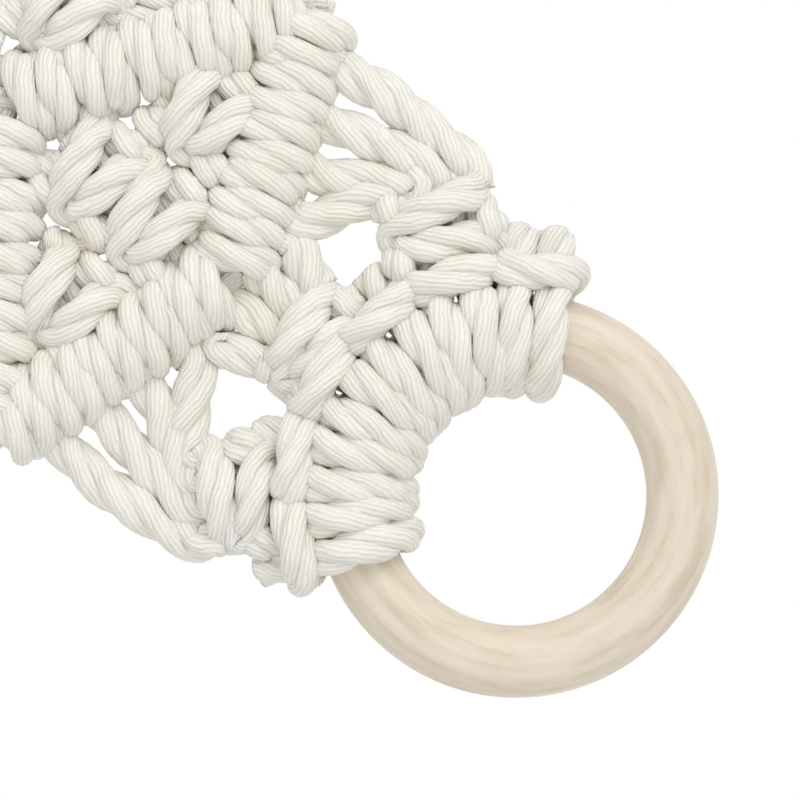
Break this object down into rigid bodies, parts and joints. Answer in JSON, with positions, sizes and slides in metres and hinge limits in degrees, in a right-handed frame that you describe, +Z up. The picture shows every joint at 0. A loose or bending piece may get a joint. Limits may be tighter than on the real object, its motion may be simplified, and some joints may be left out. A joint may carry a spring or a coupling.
{
  "type": "hanging macrame planter",
  "caption": "Hanging macrame planter: a wooden ring, a knotted cotton head panel with a diamond, arms, a net that holds a pot, and a tassel.",
  "frame": {"origin": "the ring's inner top, in the middle of its thickness, where the hook or peg that carries the planter bears", "axes": "+Z up along the line that the planter hangs on, +X across the ring and the flat head panel, -Y out of the panel's front"},
  "size_m": [0.1386, 0.146, 0.7767],
  "materials": {
    "cotton": "three-ply twisted cotton cord, natural off-white, matt and slightly hairy",
    "wood": "unvarnished pale hardwood, turned and sanded, fine straight grain"
  },
  "bodies": {
    "head": {"wooden_ring": "wood", "lark_head_1": "cotton", "lark_head_2": "cotton", "lark_head_3": "cotton", "lark_head_4": "cotton", "lark_head_5": "cotton", "lark_head_6": "cotton", "head_knot_left": "cotton", "head_knot_middle": "cotton", "head_knot_right": "cotton", "head_cords": "cotton"},
    "panel": {"hitch_bar_top_left": "cotton", "hitch_bar_top_right": "cotton", "hitch_bar_foot_left": "cotton", "hitch_bar_foot_right": "cotton", "diamond_knot_upper": "cotton", "diamond_knot_lower": "cotton", "diamond_knot_left": "cotton", "diamond_knot_right": "cotton", "panel_cords_upper": "cotton", "row_knot_left": "cotton", "row_knot_middle": "cotton", "row_knot_right": "cotton", "panel_cords_lower": "cotton"},
    "arm_tops": {"arm_top_knot_left": "cotton", "arm_top_knot_back": "cotton", "arm_top_knot_right": "cotton"},
    "cradle": {"arm_cords_left": "cotton", "arm_cords_back": "cotton", "arm_cords_right": "cotton", "arm_spiral_left": "cotton", "arm_spiral_back": "cotton", "arm_spiral_right": "cotton", "rim_knot_left": "cotton", "rim_knot_back": "cotton", "rim_knot_right": "cotton", "net_cords_left": "cotton", "net_cords_back": "cotton", "net_cords_right": "cotton", "net_knot_front": "cotton", "net_knot_back_left": "cotton", "net_knot_back_right": "cotton", "foot_cords_front": "cotton", "foot_cords_back_left": "cotton", "foot_cords_back_right": "cotton", "gathered_neck": "cotton"},
    "tassel": {"gathering_wrap": "cotton", "tassel_strand_1": "cotton", "tassel_strand_2": "cotton", "tassel_strand_3": "cotton", "tassel_strand_4": "cotton", "tassel_strand_5": "cotton", "tassel_strand_6": "cotton", "tassel_strand_7": "cotton", "tassel_strand_8": "cotton", "tassel_strand_9": "cotton", "tassel_strand_10": "cotton", "tassel_strand_11": "cotton", "tassel_strand_12": "cotton"}
  },
  "joints": [
    {"name": "panel_fold", "type": "hinge", "parent": "head", "child": "panel", "pos_m": [0, 0, -0.0606], "axis": [1, 0, 0], "range_deg": [-60, 60]},
    {"name": "arms_fold", "type": "hinge", "parent": "panel", "child": "arm_tops", "pos_m": [0, 0, -0.13033], "axis": [1, 0, 0], "range_deg": [-60, 60]},
    {"name": "cradle_turn", "type": "hinge", "parent": "arm_tops", "child": "cradle", "pos_m": [0, 0, -0.14708], "axis": [0, 0, 1], "range_deg": [-60, 60]},
    {"name": "tassel_swing", "type": "hinge", "parent": "cradle", "child": "tassel", "pos_m": [0, 0, -0.57753], "axis": [1, 0, 0], "range_deg": [-40, 40]}
  ]
}
